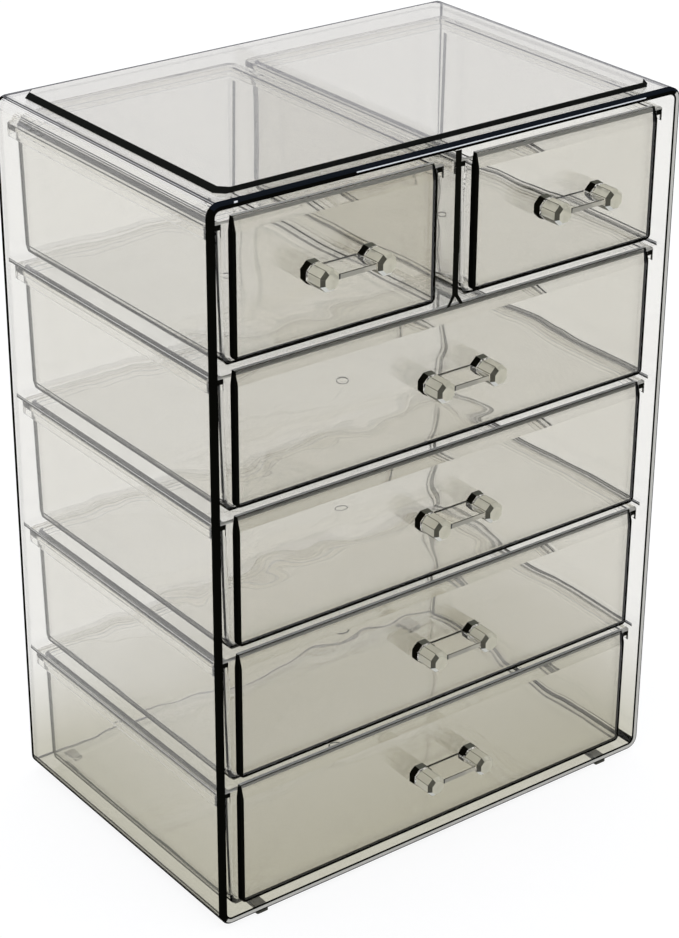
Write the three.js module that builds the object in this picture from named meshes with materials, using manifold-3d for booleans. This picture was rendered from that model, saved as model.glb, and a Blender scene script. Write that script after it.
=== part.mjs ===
import * as THREE from 'three';
import { mergeVertices } from 'three/addons/utils/BufferGeometryUtils.js';
import Module from 'manifold-3d';

// Tabletop organizer in clear smoky plastic: a casing with four shelves, a divided top row,
// two small and four full-width drawers. Millimetres, +Z up, the drawers open towards -Y.

// Casing
const casingWidth = 235;
const casingDepth = 154;
const casingHeight = 321;
const casingWall = 3;
const casingCornerRadius = 5.5;
const backThickness = 2.5;
const brokenEdge = 0.4;

// Raised deck on the top wall, which keys into the feet of a unit stacked above
const deckRise = 2.2;
const deckSideInset = 9.1;
const deckSideSlope = 1.8;
const deckFrontInset = 7;
const deckBackInset = 6;
const deckCornerCut = 3.5;

// Foot pads
const footWidth = 6;
const footLength = 10;
const footHeight = 2.2;
const footCornerRadius = 1;
const footSideInset = 18.6;
const footEdgeInset = 0.8;

// Shelves
const fullRows = 4;
const topRowExtra = 3.75;
const shelfThickness = 2.5;
const shelfCornerRadius = 1;

// Divider of the top row
const dividerThickness = 3;
const dividerFootReach = 2.9;
const dividerFootHeight = 4.8;
const dividerForkWall = 1.7;

// Drawer tray
const trayWall = 2;
const trayFloor = 2;
const trayDraft = 1.1;
const trayBottomRadius = 6;
const trayFrontBottomRadius = 3;
const trayBackCornerRadius = 4;
const trayFrontCornerRadius = 2.5;
const rimReach = 2.8;
const rimThickness = 2.6;
const rimLipHeight = 5.5;
const rimLipThickness = 1.3;
const gateRadius = 3;
const gateDepth = 0.6;

// Drawer front panel
const frontThickness = 3.6;
const frontRecess = 0.8;
const frontRaise = 3.8;
const frontSideInset = 7.2;
const frontCornerRadius = 2.4;
const frontBevelHeight = 6.2;
const frontBevelDepth = 1.8;
const frontTopTaper = 0.8;

// Handle
const handleSpacing = 27.2;
const handleReach = 14.4;
const collarRadius = 5.2;
const collarFrontRadius = 4.9;
const collarLength = 4;
const postRadius = 4.75;
const postNeckRadius = 4.35;
const postNeckLength = 0.5;
const postBevelLength = 1.6;
const postFaceRadius = 3.3;
const webTop = 1.7;
const webThickness = 2.3;
const spigotRadius = 2;
const spigotLength = 2.6;

// Fits and clearances
const bondGap = 0.3;
const sideClear = 0.9;
const runClear = 0.4;
const topClear = 0.6;
const closedClear = 0.5;
const backClear = 1;
const panelGap = 0.3;
const cutOverrun = 4;

// Fineness of the round forms
const cornerSteps = 4;
const filletSteps = 3;
const holeSides = 12;
const postSides = 8;
const weldTolerance = 1e-4;

const wasm = await Module();
wasm.setup();

// Places that follow from the sizes above
const innerWidth = casingWidth - 2 * casingWall;
const casingBase = footHeight;
const casingTop = casingBase + casingHeight;
const floorTop = casingBase + casingWall;
const rowPitch = (casingHeight - 2 * casingWall - topRowExtra) / (fullRows + 1);
const topRowFloor = floorTop + fullRows * rowPitch;
const frontReach = handleReach - frontRecess;
const casingMiddle = frontReach / 2;
const casingFront = casingMiddle - casingDepth / 2;
const casingBack = casingMiddle + casingDepth / 2;
const panelFace = casingFront + frontRecess;
const panelBack = panelFace + frontThickness;
const shelfFront = panelBack + closedClear;
const backPanelFace = casingBack - backThickness;
const trayFront = panelBack + bondGap;
const trayLength = backPanelFace - backClear - trayFront;
const trayHeight = rowPitch - shelfThickness - topClear - runClear;
const panelHeight = rowPitch - frontRaise - panelGap;
const smallBayWidth = (innerWidth - dividerThickness) / 2;
const smallBayCentre = (dividerThickness + smallBayWidth) / 2;
const fullTrayWidth = innerWidth - 2 * sideClear;
const smallTrayWidth = smallBayWidth - 2 * sideClear;

// Clear moulded plastic; the edges of the fronts and handles catch more of the tint
function clearPlastic(colour, opacity) {
  return new THREE.MeshStandardMaterial({
    color: colour,
    roughness: 0.06,
    metalness: 0,
    transparent: true,
    opacity,
  });
}
const casingPlastic = clearPlastic(0x8f9086, 0.4);
const shelfPlastic = clearPlastic(0x8a8b80, 0.4);
const trayPlastic = clearPlastic(0x94948a, 0.35);
const frontPlastic = clearPlastic(0x85867a, 0.45);
const handlePlastic = clearPlastic(0x6f6d5c, 0.6);
const footPlastic = new THREE.MeshStandardMaterial({ color: 0x2c2d29, roughness: 0.5, metalness: 0 });

// Solids and booleans
function solidFrom(geometry) {
  const plain = geometry.index ? geometry.toNonIndexed() : geometry.clone();
  plain.deleteAttribute('normal');
  plain.deleteAttribute('uv');
  const merged = mergeVertices(plain, weldTolerance);
  return new wasm.Manifold(new wasm.Mesh({
    numProp: 3,
    vertProperties: new Float32Array(merged.attributes.position.array),
    triVerts: new Uint32Array(merged.index.array),
  }));
}

function geometryFrom(solid) {
  const mesh = solid.getMesh();
  const geometry = new THREE.BufferGeometry();
  geometry.setAttribute('position', new THREE.BufferAttribute(new Float32Array(mesh.vertProperties), 3));
  geometry.setIndex(new THREE.BufferAttribute(new Uint32Array(mesh.triVerts), 1));
  geometry.computeVertexNormals();
  return geometry;
}

// A rectangle with its own radius at the lower and the upper corners, counter-clockwise
function roundedRectangle(left, right, low, high, lowRadius, highRadius) {
  const shape = new THREE.Shape();
  const quarter = Math.PI / 2;
  shape.moveTo(left + lowRadius, low);
  shape.lineTo(right - lowRadius, low);
  shape.absarc(right - lowRadius, low + lowRadius, lowRadius, -quarter, 0);
  shape.lineTo(right, high - highRadius);
  shape.absarc(right - highRadius, high - highRadius, highRadius, 0, quarter);
  shape.lineTo(left + highRadius, high);
  shape.absarc(left + highRadius, high - highRadius, highRadius, quarter, 2 * quarter);
  shape.lineTo(left, low + lowRadius);
  shape.absarc(left + lowRadius, low + lowRadius, lowRadius, 2 * quarter, 3 * quarter);
  return shape;
}

function outline(points) {
  const shape = new THREE.Shape();
  points.forEach(([x, y], i) => (i === 0 ? shape.moveTo(x, y) : shape.lineTo(x, y)));
  shape.closePath();
  return shape;
}

// Extrudes a profile drawn in X and Z along Y, from front to back, with broken end edges
function alongDepth(shape, front, back, edge, segments) {
  const geometry = new THREE.ExtrudeGeometry(shape, {
    depth: back - front - 2 * edge,
    bevelEnabled: edge > 0,
    bevelThickness: edge,
    bevelSize: edge,
    bevelOffset: -edge,
    bevelSegments: 1,
    curveSegments: segments,
  });
  geometry.rotateX(Math.PI / 2);
  geometry.translate(0, back - edge, 0);
  return geometry;
}

// Extrudes a section drawn in Y and Z along X, to the same distance on both sides
function alongWidth(shape, half) {
  const geometry = new THREE.ExtrudeGeometry(shape, { depth: 2 * half, bevelEnabled: false });
  geometry.rotateX(Math.PI / 2);
  geometry.rotateZ(Math.PI / 2);
  geometry.translate(-half, 0, 0);
  return geometry;
}

function boxAt(width, length, height, x, y, z) {
  return new THREE.BoxGeometry(width, length, height).translate(x, y, z);
}

// Skins a stack of rings and closes the first and the last one with a fan
function skinRings(rings) {
  const count = rings[0].length;
  const positions = rings.flatMap((ring) => ring.flatMap((p) => [p.x, p.y, p.z]));
  const index = [];
  for (let i = 0; i + 1 < rings.length; i += 1) {
    for (let j = 0; j < count; j += 1) {
      const a = i * count + j;
      const b = i * count + ((j + 1) % count);
      index.push(a, b, b + count, a, b + count, a + count);
    }
  }
  const caps = [[0, -1], [rings.length - 1, 1]];
  for (const [ringIndex, facing] of caps) {
    const ring = rings[ringIndex];
    const middle = ring.reduce((sum, p) => sum.add(p), new THREE.Vector3()).divideScalar(count);
    const centre = positions.length / 3;
    positions.push(middle.x, middle.y, middle.z);
    for (let j = 0; j < count; j += 1) {
      const a = ringIndex * count + j;
      const b = ringIndex * count + ((j + 1) % count);
      index.push(...(facing > 0 ? [centre, a, b] : [centre, b, a]));
    }
  }
  const geometry = new THREE.BufferGeometry();
  geometry.setAttribute('position', new THREE.Float32BufferAttribute(positions, 3));
  geometry.setIndex(index);
  return geometry;
}

// One level of the deck: a ring of points with cut corners, drawn in at the sides and all round
function deckRing(sideInset, inset, z) {
  const side = casingWidth / 2 - deckSideInset - sideInset - inset;
  const front = casingFront + deckFrontInset + inset;
  const back = casingBack - deckBackInset - inset;
  return [
    [-side + deckCornerCut, front],
    [side - deckCornerCut, front],
    [side, front + deckCornerCut],
    [side, back - deckCornerCut],
    [side - deckCornerCut, back],
    [-side + deckCornerCut, back],
    [-side, back - deckCornerCut],
    [-side, front + deckCornerCut],
  ].map(([x, y]) => new THREE.Vector3(x, y, z));
}

// Casing shell: an extruded tube of four walls with the deck raised on its top wall
function casingShell() {
  const shape = roundedRectangle(
    -casingWidth / 2, casingWidth / 2, casingBase, casingTop, casingCornerRadius, casingCornerRadius);
  const innerRadius = casingCornerRadius - casingWall;
  const bore = roundedRectangle(
    -innerWidth / 2, innerWidth / 2, floorTop, casingTop - casingWall, innerRadius, innerRadius);
  shape.holes.push(bore);
  const tube = solidFrom(alongDepth(shape, casingFront, casingBack, brokenEdge, cornerSteps));
  const deckTop = casingTop + deckRise;
  const deck = skinRings([
    deckRing(0, 0, casingTop - casingWall / 2),
    deckRing(0, 0, casingTop),
    deckRing(deckSideSlope, 0, deckTop - brokenEdge),
    deckRing(deckSideSlope, brokenEdge, deckTop),
  ]);
  return geometryFrom(tube.add(solidFrom(deck)));
}

// Height of each shelf's upper face, from the lowest shelf to the one under the small drawers
const shelfTops = Array.from({ length: fullRows }, (_, i) => floorTop + (i + 1) * rowPitch);

// Back panel: a plate that fills the back of the tube
function backPanel() {
  const side = innerWidth / 2 - bondGap;
  const radius = casingCornerRadius - casingWall;
  const shape = roundedRectangle(
    -side, side, floorTop + bondGap, casingTop - casingWall - bondGap, radius, radius);
  return alongDepth(shape, backPanelFace, casingBack - brokenEdge, 0, cornerSteps);
}

// Shelf: a plate bonded between the side walls and to the back panel
function shelf(top) {
  const side = innerWidth / 2 - bondGap;
  const shape = roundedRectangle(
    -side, side, top - shelfThickness, top, brokenEdge, shelfCornerRadius);
  return alongDepth(shape, shelfFront, backPanelFace - bondGap, 0, cornerSteps);
}

// Divider of the top row: a plate whose foot forks into two splayed legs on the shelf
function centreDivider() {
  const half = dividerThickness / 2;
  const low = topRowFloor + bondGap;
  const high = casingTop - casingWall - bondGap;
  const legOuter = half + dividerFootReach;
  const legInner = legOuter - dividerForkWall;
  const crotch = low + dividerFootHeight - dividerForkWall / 2;
  const shape = outline([
    [-half, high],
    [-half, low + dividerFootHeight],
    [-legOuter, low],
    [-legInner, low],
    [0, crotch],
    [legInner, low],
    [legOuter, low],
    [half, low + dividerFootHeight],
    [half, high],
  ]);
  return alongDepth(shape, casingFront + brokenEdge, backPanelFace - bondGap, 0, 1);
}

// Foot pad: a low block with rounded corners, bonded just inside the edge of the casing
function footPad() {
  const shape = roundedRectangle(
    -footWidth / 2, footWidth / 2, -footLength / 2, footLength / 2, footCornerRadius, footCornerRadius);
  const geometry = new THREE.ExtrudeGeometry(shape, {
    depth: footHeight - bondGap - 2 * brokenEdge,
    bevelEnabled: true,
    bevelThickness: brokenEdge,
    bevelSize: brokenEdge,
    bevelOffset: -brokenEdge,
    bevelSegments: 1,
    curveSegments: cornerSteps,
  });
  return geometry.translate(0, 0, brokenEdge);
}

// One level of a tray: a closed ring of points on a rounded rectangle
function trayRing(halfWidth, length, sideInset, frontInset, backInset, z) {
  const drawnIn = Math.max(sideInset - rimReach, 0);
  const shape = roundedRectangle(
    -halfWidth + sideInset, halfWidth - sideInset, frontInset, length - backInset,
    Math.max(trayFrontCornerRadius - drawnIn, brokenEdge),
    Math.max(trayBackCornerRadius - drawnIn, brokenEdge));
  const points = shape.extractPoints(cornerSteps).shape.slice(0, -1);
  return points.map((p) => new THREE.Vector3(p.x, p.y, z));
}

// How far a fillet of this radius draws the wall in at a height above its lowest point
function filletInset(radius, height) {
  const fall = Math.max(radius - height, 0);
  return radius - Math.sqrt(radius * radius - fall * fall);
}

// Lip hanging from the outer edge of the rim, along both sides and the back
function rimLip(half) {
  const outer = roundedRectangle(
    -half, half, 0, trayLength, trayFrontCornerRadius, trayBackCornerRadius);
  const within = half - rimLipThickness;
  const inner = roundedRectangle(
    -within, within, -cutOverrun, trayLength - rimLipThickness,
    brokenEdge, trayBackCornerRadius - rimLipThickness);
  const depth = rimLipHeight - rimThickness / 2;
  const [strip, hollow] = [outer, inner].map((shape) => {
    const geometry = new THREE.ExtrudeGeometry(shape, { depth, bevelEnabled: false, curveSegments: cornerSteps });
    return solidFrom(geometry.translate(0, 0, trayHeight - rimLipHeight));
  });
  return strip.subtract(hollow);
}

// Drawer tray: drafted walls, rounded bottom and corners, and a rim turned out and down
function trayGeometry(width) {
  const half = width / 2;
  const innerBottomRadius = trayBottomRadius - trayWall;
  const innerFrontRadius = Math.max(trayFrontBottomRadius - trayWall, brokenEdge);
  const rings = [];
  const level = (sideInset, frontInset, backInset, z) => {
    rings.push(trayRing(half, trayLength, sideInset, frontInset, backInset, z));
  };
  const draftAt = (z) => trayDraft * (1 - z / trayHeight);
  const outer = (z) => {
    const inset = rimReach + draftAt(z) + filletInset(trayBottomRadius, z);
    level(inset, filletInset(trayFrontBottomRadius, z), inset, z);
  };
  for (let i = 0; i <= filletSteps; i += 1) {
    outer(trayBottomRadius * (1 - Math.cos((i / filletSteps) * (Math.PI / 2))));
  }
  const rimFoot = trayHeight - rimThickness;
  outer(rimFoot);
  level(brokenEdge, 0, brokenEdge, rimFoot);
  level(0, 0, 0, rimFoot + brokenEdge);
  level(0, 0, 0, trayHeight - brokenEdge);
  level(brokenEdge, brokenEdge, brokenEdge, trayHeight);
  const wallTop = rimReach + trayWall;
  level(wallTop - brokenEdge, trayWall - brokenEdge, wallTop - brokenEdge, trayHeight);
  const inner = (z) => {
    const height = z - trayFloor;
    const inset = wallTop + draftAt(z) + filletInset(innerBottomRadius, height);
    level(inset, trayWall + filletInset(innerFrontRadius, height), inset, z);
  };
  inner(trayHeight - brokenEdge);
  for (let i = filletSteps; i >= 0; i -= 1) {
    inner(trayFloor + innerBottomRadius * (1 - Math.cos((i / filletSteps) * (Math.PI / 2))));
  }
  const shell = solidFrom(skinRings(rings)).add(rimLip(half));
  const gate = new THREE.CylinderGeometry(gateRadius, gateRadius, gateDepth + cutOverrun, holeSides);
  gate.rotateX(Math.PI / 2);
  gate.translate(0, trayLength / 2, gateDepth - (gateDepth + cutOverrun) / 2);
  return geometryFrom(shell.subtract(solidFrom(gate)));
}

// Drawer front: a thick plate that narrows along a long bevel at its top, with two handle holes
function frontGeometry(width) {
  const half = width / 2;
  const r = frontCornerRadius;
  const bevelFoot = panelHeight - frontBevelHeight;
  const quarter = Math.PI / 2;
  const face = new THREE.Shape();
  face.moveTo(-half + r, 0);
  face.lineTo(half - r, 0);
  face.absarc(half - r, r, r, -quarter, 0);
  face.lineTo(half, bevelFoot);
  face.lineTo(half - frontTopTaper, panelHeight);
  face.lineTo(-half + frontTopTaper, panelHeight);
  face.lineTo(-half, bevelFoot);
  face.lineTo(-half, r);
  face.absarc(-half + r, r, r, 2 * quarter, 3 * quarter);
  const section = outline([
    [0, -cutOverrun],
    [frontThickness + cutOverrun, -cutOverrun],
    [frontThickness + cutOverrun, panelHeight],
    [frontBevelDepth, panelHeight],
    [0, bevelFoot],
  ]);
  const blank = solidFrom(alongDepth(face, 0, frontThickness, brokenEdge, cornerSteps));
  const plate = blank.intersect(solidFrom(alongWidth(section, half + cutOverrun)));
  const holes = [-1, 1].map((side) => {
    const hole = new THREE.CylinderGeometry(
      spigotRadius + bondGap, spigotRadius + bondGap, frontThickness + 2 * cutOverrun, holeSides);
    return solidFrom(hole.translate(side * handleSpacing / 2, frontThickness / 2, panelHeight / 2));
  });
  return geometryFrom(holes.reduce((solid, hole) => solid.subtract(hole), plate));
}

// Handle: two eight-sided posts, each with a collar, a neck and a bevelled end, and a flat web
function handleGeometry() {
  const post = (side) => {
    const neckEnd = collarLength + postNeckLength;
    const profile = [
      [0, bondGap],
      [collarRadius - brokenEdge, bondGap],
      [collarRadius, bondGap + brokenEdge],
      [collarFrontRadius, collarLength],
      [postNeckRadius, neckEnd],
      [postRadius, neckEnd + postNeckLength],
      [postRadius, handleReach - postBevelLength],
      [postFaceRadius, handleReach],
      [0, handleReach],
    ].map(([r, y]) => new THREE.Vector2(r, y));
    const turned = new THREE.LatheGeometry(profile, postSides);
    turned.rotateY(Math.PI / postSides);
    turned.rotateX(Math.PI);
    return solidFrom(turned.translate(side * handleSpacing / 2, 0, 0));
  };
  const spigot = (side) => {
    const root = collarLength / 2;
    const pin = new THREE.CylinderGeometry(
      spigotRadius, spigotRadius, spigotLength + root, holeSides);
    return solidFrom(pin.translate(side * handleSpacing / 2, (spigotLength - root) / 2, 0));
  };
  const webFront = handleReach - postBevelLength;
  const web = solidFrom(boxAt(
    handleSpacing, webFront - bondGap, webThickness,
    0, -(webFront + bondGap) / 2, webTop - webThickness / 2));
  const solids = [-1, 1].flatMap((side) => [post(side), spigot(side)]);
  return geometryFrom(solids.reduce((whole, solid) => whole.add(solid), web));
}

// Assembly
const organizer = new THREE.Group();

function place(name, geometry, material, parent = organizer) {
  const mesh = new THREE.Mesh(geometry, material);
  mesh.name = name;
  parent.add(mesh);
  return mesh;
}

place('casing_shell', casingShell(), casingPlastic);
place('back_panel', backPanel(), casingPlastic);
shelfTops.forEach((top, i) => place(`shelf_${fullRows - i}`, shelf(top), shelfPlastic));
place('centre_divider', centreDivider(), shelfPlastic);

const footX = casingWidth / 2 - footSideInset - footWidth / 2;
const footRows = {
  front: casingFront + footEdgeInset + footLength / 2,
  back: casingBack - footEdgeInset - footLength / 2,
};
for (const [row, y] of Object.entries(footRows)) {
  place(`foot_${row}_left`, footPad(), footPlastic).position.set(-footX, y, 0);
  place(`foot_${row}_right`, footPad(), footPlastic).position.set(footX, y, 0);
}

// A drawer is its tray, the front bonded to it and the handle in the front
const drawers = [
  { name: 'small_left', x: -smallBayCentre, floor: topRowFloor, width: smallTrayWidth },
  { name: 'small_right', x: smallBayCentre, floor: topRowFloor, width: smallTrayWidth },
  ...shelfTops.map((top, i) => (
    { name: `row_${fullRows + 1 - i}`, x: 0, floor: top - rowPitch, width: fullTrayWidth })),
];
for (const { name, x, floor, width } of drawers) {
  const drawer = new THREE.Group();
  drawer.position.set(x, 0, floor);
  organizer.add(drawer);
  const tray = place(`tray_${name}`, trayGeometry(width), trayPlastic, drawer);
  tray.position.set(0, trayFront, runClear);
  const front = place(`front_${name}`, frontGeometry(width - 2 * frontSideInset), frontPlastic, drawer);
  front.position.set(0, panelFace, frontRaise);
  const handle = place(`handle_${name}`, handleGeometry(), handlePlastic, drawer);
  handle.position.set(0, panelFace, frontRaise + panelHeight / 2);
}

export default organizer;
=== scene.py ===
import math

import bpy
import mathutils
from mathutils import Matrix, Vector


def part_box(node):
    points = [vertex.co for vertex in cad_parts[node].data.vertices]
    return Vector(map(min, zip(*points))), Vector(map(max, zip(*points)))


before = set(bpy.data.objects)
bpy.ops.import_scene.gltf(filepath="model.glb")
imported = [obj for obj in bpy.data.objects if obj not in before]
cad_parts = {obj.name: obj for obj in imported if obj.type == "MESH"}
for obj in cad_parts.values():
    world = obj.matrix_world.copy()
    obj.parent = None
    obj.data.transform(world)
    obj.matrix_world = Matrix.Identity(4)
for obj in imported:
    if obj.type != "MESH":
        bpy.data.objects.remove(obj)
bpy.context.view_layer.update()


# Casing shell
# One thick moulding of clear smoky acrylic with polished walls. Its front rim and the step of the deck
# are painted near-black on the left and on top, painted shade for the light that runs along the walls and
# is lost there. The rest of the rim face is painted pale, painted light, and painted shade and painted
# highlight lines lie along the rim, at the back and on the rounded corners.
def srgb(text):
    """Linear red, green and blue of a hex colour."""
    values = [int(text[i : i + 2], 16) / 255 for i in (1, 3, 5)]
    return [v / 12.92 if v <= 0.04045 else ((v + 0.055) / 1.055) ** 2.4 for v in values]


def add(tree, kind, *values, **named):
    """A shader node of that kind. A name in small letters is a setting, and any other an input. Values
    without a name go to the inputs in order. A socket is linked, and any other value is set."""
    node = tree.nodes.new(kind)
    for key, value in (*named.items(), *enumerate(values)):
        if isinstance(key, str) and key.islower():
            setattr(node, key, value)
            continue
        socket = node.inputs[key.replace("_", " ") if isinstance(key, str) else key]
        if isinstance(value, bpy.types.NodeSocket):
            tree.links.new(value, socket)
        elif socket.type == "RGBA":
            socket.default_value = (*value, 1)
        else:
            socket.default_value = value
    return node


def calc(tree, operation, first, *others):
    """The result of one sum on numbers or sockets, done again for each further value."""
    for other in others or (0.0,):
        first = add(tree, "ShaderNodeMath", first, other, operation=operation).outputs[0]
    return first


def over(tree, value, limit):
    """1 where the value is larger than the limit, else 0."""
    return calc(tree, "GREATER_THAN", value, limit)


def under(tree, value, limit):
    """1 where the value is smaller than the limit, else 0."""
    return calc(tree, "LESS_THAN", value, limit)


def both(tree, *masks):
    """1 where all the masks are 1. A number among them scales the result."""
    return calc(tree, "MULTIPLY", *masks)


def either(tree, *masks):
    """1 where one of the masks is 1."""
    return calc(tree, "MAXIMUM", *masks)


def between(tree, value, low, high):
    """1 where low < value < high, else 0."""
    return both(tree, over(tree, value, low), under(tree, value, high))


def size_of(tree, value):
    """The value without its sign."""
    return calc(tree, "ABSOLUTE", value)


def length_of(tree, first, second):
    """The length of a line with these two parts, square to each other."""
    squares = [calc(tree, "POWER", part, 2.0) for part in (first, second)]
    return calc(tree, "SQRT", calc(tree, "ADD", *squares))


def new_material(name):
    """An empty material and its tree."""
    material = bpy.data.materials.new(name)
    material.use_nodes = True
    material.node_tree.nodes.clear()
    return material, material.node_tree


def outer_side(tree):
    """1 on the outside of a surface and -1 on its inside."""
    inside = add(tree, "ShaderNodeNewGeometry").outputs["Backfacing"]
    return calc(tree, "SUBTRACT", 1.0, calc(tree, "MULTIPLY", inside, 2.0))


def places(tree):
    """The place on the object in metres and the way that the surface faces outwards, each as x, y and z."""
    spot = add(tree, "ShaderNodeTexCoord").outputs["Object"]
    normal = add(tree, "ShaderNodeNewGeometry").outputs["True Normal"]
    place = add(tree, "ShaderNodeSeparateXYZ", spot).outputs
    facing = add(tree, "ShaderNodeSeparateXYZ", normal).outputs
    side = outer_side(tree)
    return place, {axis: calc(tree, "MULTIPLY", facing[axis], side) for axis in "XYZ"}


def matt(tree, colour):
    """A matt surface of this colour, the same from both sides: near-black for painted shade, pale for
    painted light.
    """
    return add(tree, "ShaderNodeBsdfDiffuse", Color=srgb(colour)).outputs[0]


def lay(tree, mask, lower, upper):
    """Puts one surface over another where the mask is 1."""
    return add(tree, "ShaderNodeMixShader", mask, lower, upper).outputs[0]


def give(names, material):
    """Puts one material on every slot of these nodes."""
    for name in names:
        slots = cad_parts[name].data.materials
        slots.clear()
        slots.append(material)


def clear_plastic(names, material, paints, density, normal=None, pane=False):
    """Gives these nodes smoky clear plastic. Each paint is a mask, a colour and a strength, and lies over
    the ones before it. A pane lets the first rays straight through and only mirrors a little. Light that
    has already crossed many walls ends in a painted pale glow, painted light in place of the light that
    would come through them."""
    smoke = srgb("#A79F7D")
    pale = srgb("#F0EEE7")
    white = srgb("#FFFFFF")
    pane_crossings = 6.5
    all_crossings = 11.5
    least_mirror = 0.04
    grazing_mirror = 0.9
    grazing_power = 5.0
    tree = material.node_tree
    path = add(tree, "ShaderNodeLightPath").outputs
    glass = add(
        tree,
        "ShaderNodeBsdfPrincipled",
        Base_Color=white,
        Roughness=0.0,
        IOR=1.49,
        Transmission_Weight=1.0,
    )
    if normal is not None:
        tree.links.new(normal, glass.inputs["Normal"])
    surface = glass.outputs["BSDF"]
    if pane:
        tilt = add(tree, "ShaderNodeLayerWeight", Blend=0.5).outputs["Facing"]
        grazing = calc(tree, "MULTIPLY", calc(tree, "POWER", tilt, grazing_power), grazing_mirror)
        through = add(tree, "ShaderNodeBsdfTransparent").outputs[0]
        mirror = add(tree, "ShaderNodeBsdfGlossy", Color=white, Roughness=0.0).outputs[0]
        thin = lay(tree, calc(tree, "ADD", grazing, least_mirror), through, mirror)
        surface = lay(tree, under(tree, path["Transparent Depth"], pane_crossings), surface, thin)
    for mask, colour, strength in paints:
        surface = lay(tree, both(tree, mask, strength), surface, matt(tree, colour))
    # A pale glow, painted light, where a ray has crossed many walls, in place of the light that would come
    # through them.
    painted_glow = add(tree, "ShaderNodeEmission", Color=pale, Strength=1.0).outputs[0]
    ended = lay(tree, over(tree, path["Ray Depth"], all_crossings), surface, painted_glow)
    volume = add(tree, "ShaderNodeVolumeAbsorption", Color=smoke, Density=density).outputs[0]
    add(tree, "ShaderNodeOutputMaterial", Surface=ended, Volume=volume)
    give(names, material)


# A face counts as turned towards an axis when its normal has at least this part on it.
slightly = 0.3
mostly = 0.5
squarely = 0.9

# Sizes of the moulding, and the places of its painted shade and painted highlight lines, in metres
wall = 0.003
corner = 0.0055
deck_rise = 0.0022
face_skin = 0.0006
deck_skin = 0.0001
outer_line = 0.0008
inner_line = 0.0007
near_strip = 0.0022
far_strip = 0.0023
low_strip = 0.0014
bluish_shade_depth = 0.0012
gleam_depths = (0.0012, 0.0017)
gleam_span = (-0.05, 0.098)
glint_depths = (0.0004, 0.0012)
glint_span = (-0.1062, -0.1046)
low_bend_turns = (-0.95, -0.1)
far_bend_sideways = (0.1, 0.95)
far_bend_upwards = (0.1, 1.0)

material, tree = new_material("casing_acrylic_polished_painted_light")
place, facing = places(tree)
shell_low, shell_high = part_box("casing_shell")
deck_line = shell_high.z - deck_rise
half_height = (deck_line - shell_low.z) / 2

# How deep a place lies inside the casing's rounded outline, seen from the front
level = calc(tree, "SUBTRACT", place["Z"], shell_low.z + half_height)
beside = calc(tree, "SUBTRACT", size_of(tree, place["X"]), shell_high.x - corner)
above = calc(tree, "SUBTRACT", size_of(tree, level), half_height - corner)
beyond = length_of(tree, calc(tree, "MAXIMUM", beside, 0.0), calc(tree, "MAXIMUM", above, 0.0))
within = calc(tree, "MINIMUM", calc(tree, "MAXIMUM", beside, above), 0.0)
depth = calc(tree, "SUBTRACT", corner, calc(tree, "ADD", beyond, within))

upper = over(tree, level, 0.0)
lower = under(tree, level, 0.0)
on_top = both(tree, upper, over(tree, above, beside))
on_left = both(tree, under(tree, place["X"], 0.0), over(tree, beside, above))
left_skin = both(tree, under(tree, facing["X"], -slightly), under(tree, place["X"], 0.0))
top_skin = both(tree, over(tree, facing["Z"], slightly), upper)
long_face = under(tree, size_of(tree, facing["Y"]), slightly)
steep = under(tree, size_of(tree, facing["Z"]), squarely)

front_face = both(
    tree, under(tree, place["Y"], shell_low.y + face_skin), under(tree, facing["Y"], -mostly)
)
back_face = both(
    tree, over(tree, place["Y"], shell_high.y - face_skin), over(tree, facing["Y"], mostly)
)
# Painted shade on the front rim: dark outlines round its face, near-black on the left and on top and in
# thin strips of the walls beside it, with a bluish tint near the outer edge on top.
outline = either(tree, under(tree, depth, outer_line), over(tree, depth, wall - inner_line))
near_rim = both(
    tree, under(tree, place["Y"], shell_low.y + near_strip), either(tree, left_skin, top_skin)
)
painted_rim_shade = either(tree, both(tree, front_face, either(tree, on_top, on_left)), near_rim)
painted_bluish_shade = both(tree, painted_rim_shade, on_top, under(tree, depth, bluish_shade_depth))
# Painted highlights: two bright lines along the top of the front rim.
gleam = both(tree, between(tree, depth, *gleam_depths), between(tree, place["X"], *gleam_span))
glint = both(tree, between(tree, depth, *glint_depths), between(tree, place["X"], *glint_span))
painted_highlights = both(tree, front_face, on_top, either(tree, gleam, glint))
# Painted shade at the back rim, on the step of the deck, along the lower left edge and on the lower
# rounded bends, and a grey painted shade on the upper right bend.
far_rim = both(tree, left_skin, over(tree, place["Y"], shell_high.y - far_strip))
deck_step = both(tree, over(tree, place["Z"], deck_line + deck_skin), steep)
low_left = both(tree, left_skin, under(tree, place["Z"], shell_low.z + low_strip))
low_bend = both(tree, long_face, lower, between(tree, facing["Z"], *low_bend_turns))
far_bend = both(
    tree,
    upper,
    long_face,
    between(tree, facing["X"], *far_bend_sideways),
    between(tree, facing["Z"], *far_bend_upwards),
)
# All of these are painted light and shade: the pale rim face is painted light, and the rest are painted
# shade and painted highlights.
paints = [
    (front_face, "#D2D0C7", 1.0),
    (both(tree, front_face, outline), "#0F0F0B", 1.0),
    (painted_rim_shade, "#0B0B08", 1.0),
    (painted_bluish_shade, "#171B21", 1.0),
    (painted_highlights, "#EDEFF1", 1.0),
    (either(tree, back_face, far_rim), "#0E0E0A", 1.0),
    (deck_step, "#1C1D1B", 1.0),
    (either(tree, low_left, low_bend), "#0E0E0A", 1.0),
    (far_bend, "#4C4C48", 0.6),
]
clear_plastic(["casing_shell"], material, paints, density=43.0)

# Back panel and divider
# Flat panes of the same plastic, polished. The divider's front edge is painted near-black, painted shade.
front_zone = 0.02

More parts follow.
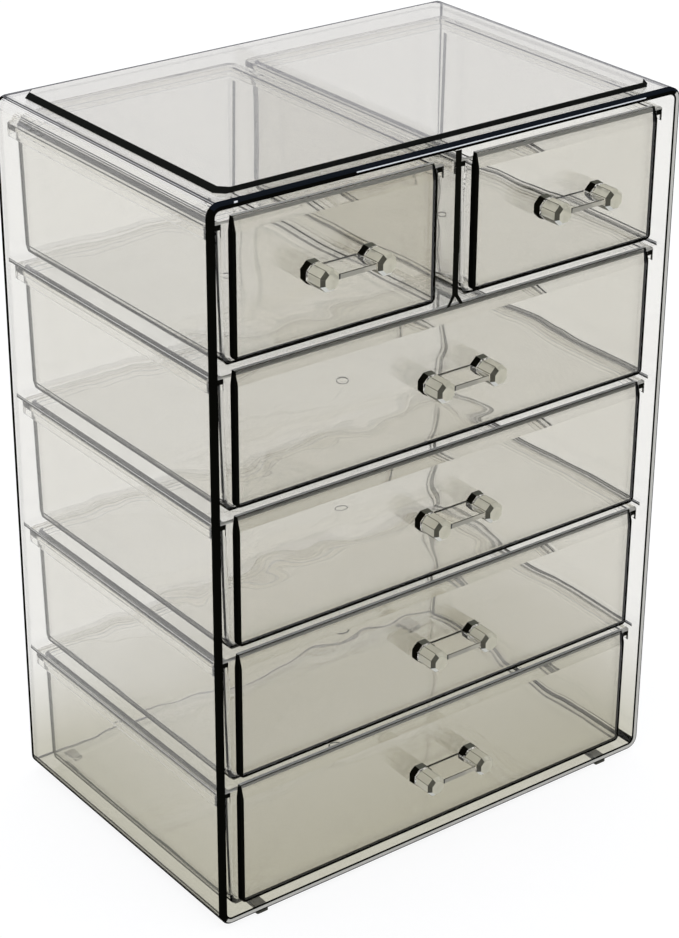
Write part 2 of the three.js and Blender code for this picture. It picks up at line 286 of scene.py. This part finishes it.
material, tree = new_material("inner_acrylic_panes_painted_shade")
place, facing = places(tree)
painted_edge_shade = both(
    tree, under(tree, facing["Y"], -mostly), under(tree, place["Y"], shell_low.y + front_zone)
)
paints = [(painted_edge_shade, "#12120E", 1.0)]
clear_plastic(["back_panel", "centre_divider"], material, paints, density=30.0, pane=True)


# Shelves
# Flat panes whose cut ends are painted dark with a painted bright line between, painted shade and a
# painted highlight, which show through the side walls as two dark lines with a bright one between.
def row_height(tree, place, foot, pitch):
    """The height over the foot of the piece in the lowest row, or of its copy in a higher row."""
    return calc(tree, "MODULO", calc(tree, "SUBTRACT", place["Z"], foot), pitch)


bright_shares = (0.42, 0.66)

material, tree = new_material("shelf_acrylic_panes_painted_light")
place, facing = places(tree)
shelf_low, shelf_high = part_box("shelf_4")
shelf_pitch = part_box("shelf_3")[0].z - shelf_low.z
height = row_height(tree, place, shelf_low.z, shelf_pitch)
bright_heights = [share * (shelf_high.z - shelf_low.z) for share in bright_shares]
at_end = over(tree, size_of(tree, facing["X"]), squarely)
# Painted shade on the cut ends, with a painted highlight line across their middle.
paints = [
    (at_end, "#2A2A27", 1.0),
    (both(tree, at_end, between(tree, height, *bright_heights)), "#F0F1F1", 1.0),
]
clear_plastic(["shelf_1", "shelf_2", "shelf_3", "shelf_4"], material, paints, density=12.0, pane=True)

# Drawer trays
# Thin moulded trays, slightly wavy from the mould. Where the plastic bends round the corners it is painted
# darker, painted shade, and the turned-down rim ends in a hook that is painted dark at the front, painted
# shade too. The top of the front wall is painted pale, painted light.
rows = ("small_left", "small_right", "row_2", "row_3", "row_4", "row_5")
tray_low, tray_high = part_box("tray_row_5")
small_low, small_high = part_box("tray_small_right")
small_half = (small_high.x - small_low.x) / 2
small_middle = (small_high.x + small_low.x) / 2
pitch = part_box("tray_row_4")[0].z - tray_low.z


def drawer_place(tree, place):
    """1 in the row of small drawers, and the sideways distance from the middle of a drawer."""
    in_small_row = over(tree, place["Z"], small_low.z)
    shift = calc(tree, "MULTIPLY", in_small_row, small_middle)
    return in_small_row, size_of(tree, calc(tree, "SUBTRACT", size_of(tree, place["X"]), shift))


def near_side(tree, place, wide_half, narrow_half, width):
    """1 within this width of the left and right edges of a drawer's piece, from its half width in the
    rows of wide drawers and in the row of small ones."""
    in_small_row, sideways = drawer_place(tree, place)
    less = calc(tree, "MULTIPLY", in_small_row, wide_half - narrow_half)
    return over(tree, calc(tree, "ADD", sideways, less), wide_half - width)


wave_length = 0.041667
wave_height = 0.0013
floor_across = (0.0135, 0.1035)
floor_along = (-0.062, 0.070)
rim_drop = 0.0056
rim_crest = 0.0005
brim_length = 0.0025
bend_turn = 0.1
bend_heights = (0.0006, 0.0018)
bend_strength = 0.06
right_bend_strength = 0.66
low_line_heights = (0.0020, 0.0046)
far_line_distances = (0.0070, 0.0092)
hook_width = 0.0046
hook_length = 0.001
gate_radii = (0.0026, 0.0034)
gate_skin = 0.001

material, tree = new_material("tray_moulded_plastic_painted_light")
place, facing = places(tree)
height = row_height(tree, place, tray_low.z, pitch)
rim_foot = tray_high.z - tray_low.z - rim_drop

# The waves are on one side of each wall. On the inner floor they start from an upright normal, so that
# the small crease in its mesh doesn't show.
spot = add(tree, "ShaderNodeTexCoord").outputs["Object"]
waves = add(tree, "ShaderNodeTexNoise", Vector=spot, Scale=1 / wave_length, Detail=1.0, Roughness=0.4)
one_side = calc(tree, "SUBTRACT", facing["Z"], calc(tree, "ADD", facing["X"], facing["Y"]))
relief = both(tree, waves.outputs["Fac"], over(tree, one_side, 0.0))
on_floor = both(
    tree,
    over(tree, facing["Z"], mostly),
    between(tree, size_of(tree, place["X"]), *floor_across),
    between(tree, place["Y"], *floor_along),
)
levelled = add(tree, "ShaderNodeMix", on_floor, data_type="VECTOR")
upright = add(tree, "ShaderNodeCombineXYZ", Z=outer_side(tree)).outputs[0]
tree.links.new(add(tree, "ShaderNodeNewGeometry").outputs["Normal"], levelled.inputs[4])
tree.links.new(upright, levelled.inputs[5])
bump = add(
    tree,
    "ShaderNodeBump",
    Strength=1.0,
    Distance=wave_height,
    Height=relief,
    Normal=levelled.outputs[1],
)

# The tilt is 0 on faces square to an axis, and more the further they turn away from all three.
tilt = calc(tree, "SUBTRACT", 1.0, either(tree, *(size_of(tree, facing[axis]) for axis in "XYZ")))
below_rim = under(tree, height, rim_foot)
painted_bend_shade = both(tree, below_rim, over(tree, tilt, bend_turn))
along_side = both(
    tree,
    under(tree, size_of(tree, facing["Y"]), slightly),
    under(tree, facing["Z"], 0.0),
    between(tree, height, *bend_heights),
)
right_bend = both(tree, along_side, over(tree, facing["X"], 0.0), right_bend_strength)
left_wall = under(tree, facing["X"], -squarely)
low_line = both(tree, left_wall, between(tree, height, *low_line_heights))
from_back = calc(tree, "SUBTRACT", tray_high.y, place["Y"])
far_line = both(tree, left_wall, below_rim, between(tree, from_back, *far_line_distances))
painted_pale_brim = both(
    tree,
    over(tree, height, tray_high.z - tray_low.z - rim_crest),
    under(tree, place["Y"], tray_low.y + brim_length),
)
sideways = drawer_place(tree, place)[1]
lengthwise = calc(tree, "SUBTRACT", place["Y"], (tray_low.y + tray_high.y) / 2)
gate_reach = length_of(tree, sideways, lengthwise)
gate_ring = both(tree, under(tree, height, gate_skin), between(tree, gate_reach, *gate_radii))
painted_hook_shade = both(
    tree,
    under(tree, facing["Y"], -squarely),
    under(tree, place["Y"], tray_low.y + hook_length),
    over(tree, height, rim_foot),
    near_side(tree, place, tray_high.x, small_half, hook_width),
)
# Painted light and shade: painted shade in the bends (faint, stronger on the right), in two lines on faces
# is painted pale.
# turned to the left, in a ring round the gate mark and on the rim's front hook. The top edge at the front
paints = [
    (both(tree, painted_bend_shade, calc(tree, "ADD", right_bend, bend_strength)), "#42423B", 1.0),
    (low_line, "#262721", 0.95),
    (far_line, "#3E403A", 0.75),
    (painted_pale_brim, "#D5D3CA", 0.8),
    (gate_ring, "#3A3A33", 0.8),
    (painted_hook_shade, "#12120E", 1.0),
]
trays = ["tray_" + row for row in rows]
clear_plastic(trays, material, paints, density=60.0, normal=bump.outputs["Normal"])

# Drawer fronts
# Thick polished plates, painted near-black all along their side and bottom edges and in a thin line
# round the face there, painted shade. Their top is painted pale, painted light, with a thin painted dark
# line at the crest of the long bevel below it.
back_strip = 0.0010
face_strip = 0.0014
crest_strip = 0.0005
bevel_turn = 0.6

material, tree = new_material("front_acrylic_polished_painted_light")
place, facing = places(tree)
front_low, front_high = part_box("front_row_5")
small_front_low, small_front_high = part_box("front_small_right")
small_front_half = (small_front_high.x - small_front_low.x) / 2
height = row_height(tree, place, front_low.z, pitch)


def near_edge(tree, place, height, width):
    """1 within this width of the side and bottom edges of a front."""
    side = near_side(tree, place, front_high.x, small_front_half, width)
    return either(tree, side, under(tree, height, width))


edge_faces = both(
    tree, under(tree, size_of(tree, facing["Y"]), squarely), under(tree, facing["Z"], slightly)
)
back_line = both(
    tree, over(tree, facing["Y"], squarely), near_edge(tree, place, height, back_strip)
)
face_line = both(
    tree, under(tree, facing["Y"], -squarely), near_edge(tree, place, height, face_strip)
)
painted_crest_shade = both(
    tree,
    under(tree, facing["Y"], -mostly),
    over(tree, height, front_high.z - front_low.z - crest_strip),
)
# Painted shade on the edges and in thin lines round the back and the face near them, painted light on
# the top, and a painted dark line at the bevel's crest.
paints = [
    (either(tree, edge_faces, back_line, face_line), "#0C0C09", 1.0),
    (over(tree, facing["Z"], bevel_turn), "#EDECE6", 0.85),
    (painted_crest_shade, "#33332C", 0.8),
]
clear_plastic(["front_" + row for row in rows], material, paints, density=65.0)

# Handles
# Solid eight-sided prisms of clear plastic with painted light and shade: barrels painted pale with painted
# shade below and along the ridges, collars painted near-black with a painted grey top, and end faces and
# bevels painted pale, with painted shade on the left and a painted highlight below. The flat web between
# them is painted pale on the front, with a painted dark line along its top and painted shade at its back.
collar_reach = 0.0041
barrel_gap = 0.0045
end_bevel = 0.0016
post_margin = 0.0003
web_line_height = 0.0013
ridge_share = 0.035
post_sides = 8
left_turn = 0.2
bevel_turns = (-0.95, -0.3)

material, tree = new_material("handle_acrylic_prism_painted_light")
place, facing = places(tree)
handle_low, handle_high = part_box("handle_row_5")
post_half = (handle_high.z - handle_low.z) / 2
post_place = handle_high.x - post_half
axis_height = (handle_low.z + handle_high.z) / 2 - tray_low.z
over_axis = calc(tree, "SUBTRACT", row_height(tree, place, tray_low.z, pitch), axis_height)
from_post = calc(tree, "SUBTRACT", drawer_place(tree, place)[1], post_place)
on_post = under(tree, size_of(tree, from_post), post_half + post_margin)
off_post = calc(tree, "SUBTRACT", 1.0, on_post)
post_skin = both(tree, on_post, over(tree, outer_side(tree), 0.0))

along_y = under(tree, size_of(tree, facing["Y"]), slightly)
collar = both(tree, post_skin, along_y, over(tree, place["Y"], front_low.y - collar_reach))
collar_top = both(tree, collar, over(tree, facing["Z"], squarely))
web_back = both(tree, off_post, over(tree, facing["Y"], mostly))
web_front = both(tree, off_post, under(tree, facing["Y"], -mostly))
web_line = both(tree, web_front, over(tree, over_axis, web_line_height))
before_collar = both(tree, post_skin, under(tree, place["Y"], front_low.y - barrel_gap))
barrel = both(tree, before_collar, along_y)
downward = under(tree, facing["Z"], -slightly)

# Thin painted dark lines, painted shade, along the ridges of a post, which lie halfway between two whole
# side turns
side_turn = 2 * math.pi / post_sides
side_turns = calc(tree, "DIVIDE", calc(tree, "ARCTAN2", over_axis, from_post), side_turn)
from_ridge = size_of(tree, calc(tree, "SUBTRACT", calc(tree, "FRACT", side_turns), 0.5))
painted_ridge_shade = both(tree, before_collar, under(tree, from_ridge, ridge_share))

at_end = both(tree, post_skin, under(tree, place["Y"], handle_low.y + end_bevel))
end_face = both(tree, at_end, under(tree, facing["Y"], bevel_turns[0]))
bevel = both(tree, at_end, between(tree, facing["Y"], *bevel_turns))
left_bevel = both(tree, bevel, under(tree, facing["X"], -left_turn))
# All of these are painted light and shade on the clear prisms.
paints = [
    (collar, "#13120C", 1.0),
    (collar_top, "#77776A", 0.85),
    (web_back, "#1F1F18", 1.0),
    (barrel, "#F2EED6", 0.55),
    (both(tree, barrel, downward), "#2A2A22", 0.6),
    (painted_ridge_shade, "#35352B", 0.85),
    (end_face, "#EEEAD2", 0.55),
    (bevel, "#E2DEC6", 0.6),
    (left_bevel, "#1B1B14", 0.85),
    (both(tree, bevel, downward), "#FDFCF2", 0.9),
    (web_front, "#CBC7B8", 0.6),
    (web_line, "#3A3A30", 0.9),
]
clear_plastic(["handle_" + row for row in rows], material, paints, density=50.0)

# Foot pads
# Small dark pads of satin plastic. Their top, seen through the casing, is painted pale, painted light. The
# moulded grain is drawn coarser than the real one, so that it shows.
grain_size = 0.00111
pale_top_strength = 0.85

material, tree = new_material("foot_dark_plastic_satin_painted_light")
spot = add(tree, "ShaderNodeTexCoord").outputs["Object"]
grain = add(tree, "ShaderNodeTexNoise", Vector=spot, Scale=1 / grain_size, Detail=2.0).outputs["Fac"]
shade = add(tree, "ShaderNodeMix", grain, data_type="RGBA")
for socket, colour in zip(shade.inputs[6:8], ("#22221D", "#33332C")):
    socket.default_value = (*srgb(colour), 1)
pad = add(tree, "ShaderNodeBsdfPrincipled", Base_Color=shade.outputs[2], Roughness=0.4)
# The top face is painted pale, painted light.
painted_pale_top = both(tree, over(tree, places(tree)[1]["Z"], squarely), pale_top_strength)
surface = lay(tree, painted_pale_top, pad.outputs[0], matt(tree, "#C2BFB0"))
add(tree, "ShaderNodeOutputMaterial", Surface=surface)
give(["foot_front_left", "foot_front_right", "foot_back_left", "foot_back_right"], material)

# Floor and backdrop
# A plain floor that the camera sees as white. Seen through the plastic it is shaded under the object.
floor_reach = 6
glow_strength = 0.87
shade_half_x = 0.1
shade_half_y = 0.06
shade_middle_y = 0.007
shade_fade = 0.12

floor_mesh = bpy.data.meshes.new("floor")
corners = [(x * floor_reach, y * floor_reach, 0) for x, y in ((-1, -1), (1, -1), (1, 1), (-1, 1))]
floor_mesh.from_pydata(corners, [], [(0, 1, 2, 3)])
floor = bpy.data.objects.new("floor", floor_mesh)
bpy.context.scene.collection.objects.link(floor)
material, tree = new_material("plain_floor")
place = places(tree)[0]
path = add(tree, "ShaderNodeLightPath").outputs
centred_y = calc(tree, "SUBTRACT", place["Y"], shade_middle_y)
outside_x = calc(tree, "SUBTRACT", size_of(tree, place["X"]), shade_half_x)
outside_y = calc(tree, "SUBTRACT", size_of(tree, centred_y), shade_half_y)
away = length_of(tree, *(calc(tree, "MAXIMUM", part, 0.0) for part in (outside_x, outside_y)))
shading = add(
    tree,
    "ShaderNodeMapRange",
    interpolation_type="SMOOTHSTEP",
    Value=away,
    From_Min=0.0,
    From_Max=shade_fade,
)
shaded = add(tree, "ShaderNodeEmission", Color=srgb("#CBC9BB"), Strength=1.0).outputs[0]
white = add(tree, "ShaderNodeEmission", Color=srgb("#FFFFFF"), Strength=1.0).outputs[0]
through = lay(tree, shading.outputs["Result"], shaded, white)
by_glass = either(tree, path["Is Transmission Ray"], path["Is Glossy Ray"])
surface = lay(tree, by_glass, matt(tree, "#E7E7E7"), through)
glow = add(tree, "ShaderNodeEmission", Color=srgb("#FFFFFF"), Strength=glow_strength).outputs[0]
seen = add(tree, "ShaderNodeAddShader", matt(tree, "#7C7C7C"), glow).outputs[0]
surface = lay(tree, path["Is Camera Ray"], surface, seen)
add(tree, "ShaderNodeOutputMaterial", Surface=surface)
floor_mesh.materials.append(material)

# Light
# A white studio with a darker front side, so that edges and gloss have something dark to mirror.
upward_share = 0.6

world = bpy.data.worlds.new("studio")
bpy.context.scene.world = world
world.use_nodes = True
sky = world.node_tree
sky.nodes.clear()
direction = add(sky, "ShaderNodeTexCoord").outputs["Generated"]
way = add(sky, "ShaderNodeSeparateXYZ", direction).outputs
depth = calc(sky, "ADD", way["Y"], calc(sky, "MULTIPLY", way["Z"], upward_share))
level = add(
    sky, "ShaderNodeMapRange", Value=depth, From_Min=-0.5, From_Max=0.3, To_Min=0.3, To_Max=1.0
).outputs["Result"]
around = add(sky, "ShaderNodeBackground", Color=srgb("#F6F6FF"), Strength=level).outputs[0]
plain = add(sky, "ShaderNodeBackground", Color=srgb("#EEF0F6"), Strength=1.0).outputs[0]
path = add(sky, "ShaderNodeLightPath").outputs
mirrored = calc(sky, "SUBTRACT", path["Is Reflection Ray"], path["Is Diffuse Ray"])
add(sky, "ShaderNodeOutputWorld", Surface=lay(sky, mirrored, plain, around))

# Camera
# Placed by the straight edges of the casing in the photo, without any shift.
azimuth = math.radians(-37.1)
elevation = math.radians(26.77)
roll = math.radians(0.33)
camera_place = (-0.60363, -0.79248, 0.65589)
picture_height = 938
focal_pixels = 2561.7

camera_data = bpy.data.cameras.new("camera")
camera = bpy.data.objects.new("camera", camera_data)
bpy.context.scene.collection.objects.link(camera)
bpy.context.scene.camera = camera
back = mathutils.Vector(
    (
        math.sin(azimuth) * math.cos(elevation),
        -math.cos(azimuth) * math.cos(elevation),
        math.sin(elevation),
    )
)
right = (-back).cross(mathutils.Vector((0, 0, 1))).normalized()
up = right.cross(-back)
tilted_right = math.cos(roll) * right + math.sin(roll) * up
tilted_up = -math.sin(roll) * right + math.cos(roll) * up
stance = mathutils.Matrix((tilted_right, tilted_up, back)).transposed().to_4x4()
stance.translation = camera_place
camera.matrix_world = stance
camera_data.sensor_width = 36
camera_data.lens = focal_pixels / picture_height * camera_data.sensor_width
camera_data.clip_end = 50

bpy.context.scene.view_settings.view_transform = "Standard"
